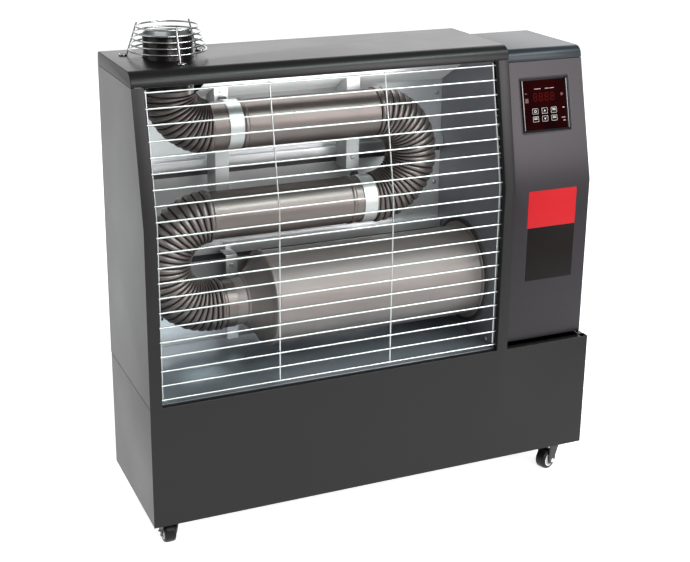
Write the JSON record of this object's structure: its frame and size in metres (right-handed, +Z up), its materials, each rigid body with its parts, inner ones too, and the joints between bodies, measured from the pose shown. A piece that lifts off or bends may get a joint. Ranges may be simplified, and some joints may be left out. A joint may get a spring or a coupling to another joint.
{
  "type": "infrared diesel heater",
  "caption": "Cabinet infrared heater on casters: wire-guarded window over a drum and pleated exhaust pipes, caged flue on top, slanted control panel, fuel tank in the base.",
  "frame": {"origin": "on the floor, under the middle of the bounding box", "axes": "+Z up, -Y out of the front window, +X towards the control side"},
  "size_m": [0.88, 0.2852, 0.9226],
  "materials": {
    "black_coat": "textured powder coat",
    "control_paint": "satin powder coat",
    "galvanised": "bright galvanised sheet",
    "heat_steel": "heat-coloured satin steel",
    "bright_wire": "bright zinc plate",
    "zinc": "zinc plate",
    "panel_gloss": "glossy dark tinted window",
    "circuit_board": "lacquered board",
    "burner_steel": "plain enamel",
    "cast_metal": "die cast",
    "brass_fitting": "turned",
    "tank_paint": "primer",
    "black_plastic": "moulded",
    "caster_black": "black paint",
    "caster_tyre": "solid rubber",
    "caster_hub": "moulded",
    "axle_steel": "bright plate"
  },
  "bodies": {
    "cabinet": {"base_tray": "black_coat", "blower_housing": "burner_steel", "blower_motor": "cast_metal", "burner_cover": "black_coat", "burner_tube": "burner_steel", "cable_gland": "black_plastic", "caster_plates": "zinc", "chamber_floor": "galvanised", "combustion_chamber": "heat_steel", "control_board": "circuit_board", "control_front": "control_paint", "control_lid": "black_coat", "display_panel": "panel_gloss", "divider_wall": "galvanised", "flue_elbow": "heat_steel", "flue_guard": "bright_wire", "flue_outlet": "heat_steel", "front_panel": "black_coat", "fuel_line": "brass_fitting", "fuel_pump": "cast_metal", "fuel_tank": "tank_paint", "guard_grille": "bright_wire", "ignition_transformer": "burner_steel", "left_bend": "heat_steel", "left_side_panel": "black_coat", "middle_tube": "heat_steel", "pipe_clamps": "galvanised", "rear_panel": "black_coat", "reflector": "galvanised", "right_bend": "heat_steel", "right_side_panel": "black_coat", "screws": "zinc", "spray_nozzle": "brass_fitting", "support_brackets": "galvanised", "top_cover": "black_coat", "upper_tube": "heat_steel"},
    "front_left_fork": {"front_left_caster_fork": "caster_black", "front_left_caster_axle": "axle_steel"},
    "front_left_wheel": {"front_left_caster_tyre": "caster_tyre", "front_left_caster_hub": "caster_hub"},
    "front_right_fork": {"front_right_caster_fork": "caster_black", "front_right_caster_axle": "axle_steel"},
    "front_right_wheel": {"front_right_caster_tyre": "caster_tyre", "front_right_caster_hub": "caster_hub"},
    "rear_left_fork": {"rear_left_caster_fork": "caster_black", "rear_left_caster_axle": "axle_steel"},
    "rear_left_wheel": {"rear_left_caster_tyre": "caster_tyre", "rear_left_caster_hub": "caster_hub"},
    "rear_right_fork": {"rear_right_caster_fork": "caster_black", "rear_right_caster_axle": "axle_steel"},
    "rear_right_wheel": {"rear_right_caster_tyre": "caster_tyre", "rear_right_caster_hub": "caster_hub"},
    "key_1": {"key_1": "panel_gloss"},
    "key_2": {"key_2": "panel_gloss"},
    "key_3": {"key_3": "panel_gloss"},
    "key_4": {"key_4": "panel_gloss"},
    "key_5": {"key_5": "panel_gloss"},
    "key_6": {"key_6": "panel_gloss"},
    "blower": {"blower_wheel": "burner_steel"},
    "filler_cap": {"fuel_cap": "black_plastic"}
  },
  "joints": [
    {"name": "front_left_swivel", "type": "hinge", "parent": "cabinet", "child": "front_left_fork", "pos_m": [-0.4, -0.10265, 0.06], "axis": [0, 0, 1], "continuous": true},
    {"name": "front_left_spin", "type": "hinge", "parent": "front_left_fork", "child": "front_left_wheel", "pos_m": [-0.4, -0.08665, 0.021], "axis": [-1, 0, 0], "continuous": true},
    {"name": "front_right_swivel", "type": "hinge", "parent": "cabinet", "child": "front_right_fork", "pos_m": [0.4, -0.10265, 0.06], "axis": [0, 0, 1], "continuous": true},
    {"name": "front_right_spin", "type": "hinge", "parent": "front_right_fork", "child": "front_right_wheel", "pos_m": [0.38497, -0.10812, 0.021], "axis": [0.342, -0.9397, 0], "continuous": true},
    {"name": "rear_left_swivel", "type": "hinge", "parent": "cabinet", "child": "rear_left_fork", "pos_m": [-0.4, 0.08535, 0.06], "axis": [0, 0, 1], "continuous": true},
    {"name": "rear_left_spin", "type": "hinge", "parent": "rear_left_fork", "child": "rear_left_wheel", "pos_m": [-0.392, 0.09921, 0.021], "axis": [-0.866, 0.5, 0], "continuous": true},
    {"name": "rear_right_swivel", "type": "hinge", "parent": "cabinet", "child": "rear_right_fork", "pos_m": [0.4, 0.08535, 0.06], "axis": [0, 0, 1], "continuous": true},
    {"name": "rear_right_spin", "type": "hinge", "parent": "rear_right_fork", "child": "rear_right_wheel", "pos_m": [0.392, 0.09921, 0.021], "axis": [-0.866, -0.5, 0], "continuous": true},
    {"name": "key_1_press", "type": "slide", "parent": "cabinet", "child": "key_1", "axis": [0, 0.9705, -0.241], "range_m": [0, 0.0006], "stiffness_N_per_m": 800},
    {"name": "key_2_press", "type": "slide", "parent": "cabinet", "child": "key_2", "axis": [0, 0.9705, -0.241], "range_m": [0, 0.0006], "stiffness_N_per_m": 800},
    {"name": "key_3_press", "type": "slide", "parent": "cabinet", "child": "key_3", "axis": [0, 0.9705, -0.241], "range_m": [0, 0.0006], "stiffness_N_per_m": 800},
    {"name": "key_4_press", "type": "slide", "parent": "cabinet", "child": "key_4", "axis": [0, 0.9705, -0.241], "range_m": [0, 0.0006], "stiffness_N_per_m": 800},
    {"name": "key_5_press", "type": "slide", "parent": "cabinet", "child": "key_5", "axis": [0, 0.9705, -0.241], "range_m": [0, 0.0006], "stiffness_N_per_m": 800},
    {"name": "key_6_press", "type": "slide", "parent": "cabinet", "child": "key_6", "axis": [0, 0.9705, -0.241], "range_m": [0, 0.0006], "stiffness_N_per_m": 800},
    {"name": "blower_spin", "type": "hinge", "parent": "cabinet", "child": "blower", "pos_m": [0.3, 0.00235, 0.409], "axis": [1, 0, 0], "continuous": true},
    {"name": "filler_cap_pull", "type": "slide", "parent": "cabinet", "child": "filler_cap", "axis": [0, 1, 0], "range_m": [0, 0.06]}
  ]
}
